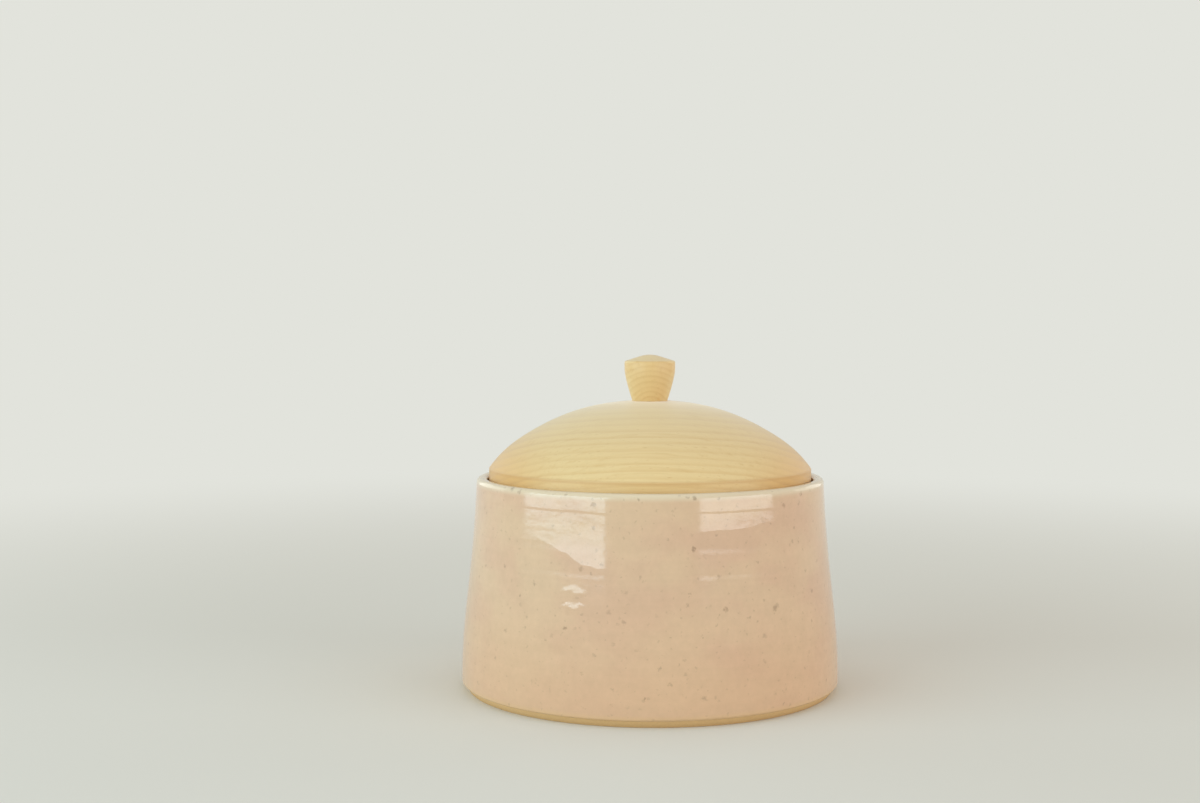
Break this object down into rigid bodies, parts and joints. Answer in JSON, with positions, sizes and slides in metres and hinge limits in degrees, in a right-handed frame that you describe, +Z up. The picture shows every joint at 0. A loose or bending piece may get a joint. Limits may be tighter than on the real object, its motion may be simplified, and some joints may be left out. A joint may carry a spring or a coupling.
{
  "type": "storage jar",
  "caption": "Round stoneware storage jar with a leaning glazed wall and bare foot, and a domed wooden lid with a small turned knob that lifts off.",
  "frame": {"origin": "centre of the foot, on the surface that the jar stands on", "axes": "+Z up along the axis that the jar, lid and knob are turned about; the jar is round, so X and Y are free"},
  "size_m": [0.12, 0.12, 0.1058],
  "materials": {
    "glazed_stoneware": "gloss",
    "lid_wood": "satin",
    "knob_wood": "satin",
    "screw_steel": "satin"
  },
  "bodies": {
    "jar": {"jar": "glazed_stoneware"},
    "lid": {"lid": "lid_wood", "knob": "knob_wood", "knob_screw": "screw_steel"}
  },
  "joints": [
    {"name": "lid_lift", "type": "slide", "parent": "jar", "child": "lid", "axis": [0, 0, 1], "range_m": [0, 0.08]}
  ]
}
